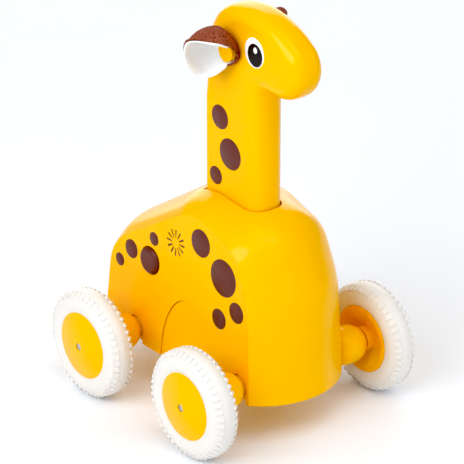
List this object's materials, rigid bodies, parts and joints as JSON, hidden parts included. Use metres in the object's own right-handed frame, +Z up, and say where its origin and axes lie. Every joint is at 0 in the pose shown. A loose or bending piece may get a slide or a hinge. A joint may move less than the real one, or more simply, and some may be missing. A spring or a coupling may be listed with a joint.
{
  "type": "press and go toy",
  "caption": "Rolling push toy shaped like a long-necked spotted animal: pressing the head down works a rack, gears and a return spring that drive the rear wheels.",
  "frame": {"origin": "on the floor, midway between the front and rear axles and between the wheels", "axes": "+X towards the muzzle, +Y to the toy's left, +Z up"},
  "size_m": [0.143, 0.1352, 0.2203],
  "materials": {
    "yellow_plastic": "satin moulded",
    "steel": "drawn wire",
    "nylon": "moulded natural nylon",
    "white_rubber": "soft moulded",
    "brown_plastic": "satin moulded",
    "dark_rubber": "matt moulded",
    "brown_felt": "pressed felt",
    "white_lining": "soft pile lining"
  },
  "bodies": {
    "body": {"body_shell": "yellow_plastic", "belly_chassis": "yellow_plastic", "chassis_screws": "steel", "pinion_pin": "steel", "return_spring": "steel", "squeaker_bellows": "dark_rubber", "squeaker_reed": "nylon"},
    "head_neck": {"neck_half_left": "yellow_plastic", "neck_half_right": "yellow_plastic", "neck_foot": "nylon", "neck_foot_screws": "steel", "drive_rack": "nylon", "ear_felt_left": "brown_felt", "ear_felt_right": "brown_felt", "ear_lining_left": "white_lining", "ear_lining_right": "white_lining", "ear_button_left": "yellow_plastic", "ear_button_right": "yellow_plastic"},
    "pinion": {"pinion_gear": "nylon"},
    "drive": {"drive_gear": "nylon", "clutch_rollers": "steel", "clutch_cap": "nylon"},
    "rear_wheels": {"rear_axle": "steel", "rear_hub_left": "yellow_plastic", "rear_hub_right": "yellow_plastic", "rear_tyre_left": "white_rubber", "rear_tyre_right": "white_rubber"},
    "front_wheels": {"front_axle": "steel", "front_hub_left": "yellow_plastic", "front_hub_right": "yellow_plastic", "front_tyre_left": "white_rubber", "front_tyre_right": "white_rubber"},
    "button": {"squeaker_button": "brown_plastic"}
  },
  "joints": [
    {"name": "neck_press", "type": "slide", "parent": "body", "child": "head_neck", "axis": [0, 0, -1], "range_m": [0, 0.024], "stiffness_N_per_m": 400, "springref_m": -0.01, "deforming": ["return_spring"]},
    {"name": "pinion_spin", "type": "hinge", "parent": "body", "child": "pinion", "pos_m": [-0.017, 0, 0.05451], "axis": [0, 1, 0], "range_deg": [0, 229.2]},
    {"name": "drive_spin", "type": "hinge", "parent": "body", "child": "drive", "pos_m": [-0.0424, 0, 0.029], "axis": [0, 1, 0], "range_deg": [-802.2, 0]},
    {"name": "rear_axle_spin", "type": "hinge", "parent": "body", "child": "rear_wheels", "pos_m": [-0.0424, 0, 0.029], "axis": [0, 1, 0], "continuous": true},
    {"name": "front_axle_spin", "type": "hinge", "parent": "body", "child": "front_wheels", "pos_m": [0.0424, 0, 0.029], "axis": [0, 1, 0], "continuous": true},
    {"name": "button_press", "type": "slide", "parent": "body", "child": "button", "axis": [0, 1, 0], "range_m": [0, 0.0024], "stiffness_N_per_m": 500, "springref_m": -0.002, "deforming": ["squeaker_bellows"]}
  ],
  "couplings": [
    {"joint": "pinion_spin", "follows": "neck_press", "rad_per_m": 166.67},
    {"joint": "drive_spin", "follows": "neck_press", "rad_per_m": -583.33}
  ]
}
